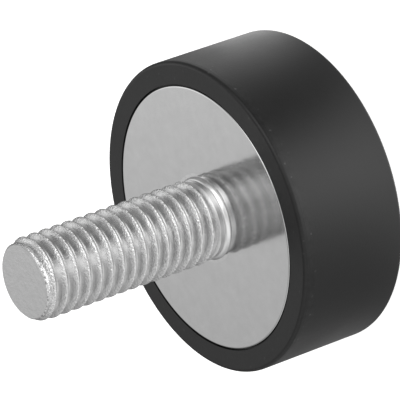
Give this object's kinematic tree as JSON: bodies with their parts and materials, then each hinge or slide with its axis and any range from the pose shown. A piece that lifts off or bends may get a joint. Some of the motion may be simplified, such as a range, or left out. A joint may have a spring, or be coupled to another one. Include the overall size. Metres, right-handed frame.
{
  "type": "rubber buffer",
  "caption": "Short round rubber buffer with a flush steel plate and a threaded stud on top, and a plain rubber stop face below, which cushions knocks and vibration.",
  "frame": {"origin": "centre of the plain rubber end, on the surface that the buffer stands on", "axes": "+Z along the axis, from the plain rubber end to the stud's tip; the part is round, so +X and +Y are free"},
  "size_m": [0.0296, 0.0296, 0.0314],
  "materials": {
    "black_rubber": "moulded, satin, smooth",
    "plate_steel": "bright plated sheet steel, semi-gloss",
    "stud_steel": "bright plated, rolled thread"
  },
  "bodies": {
    "root": {"rubber_body": "black_rubber", "end_plate": "plate_steel", "threaded_stud": "stud_steel"}
  },
  "joints": []
}
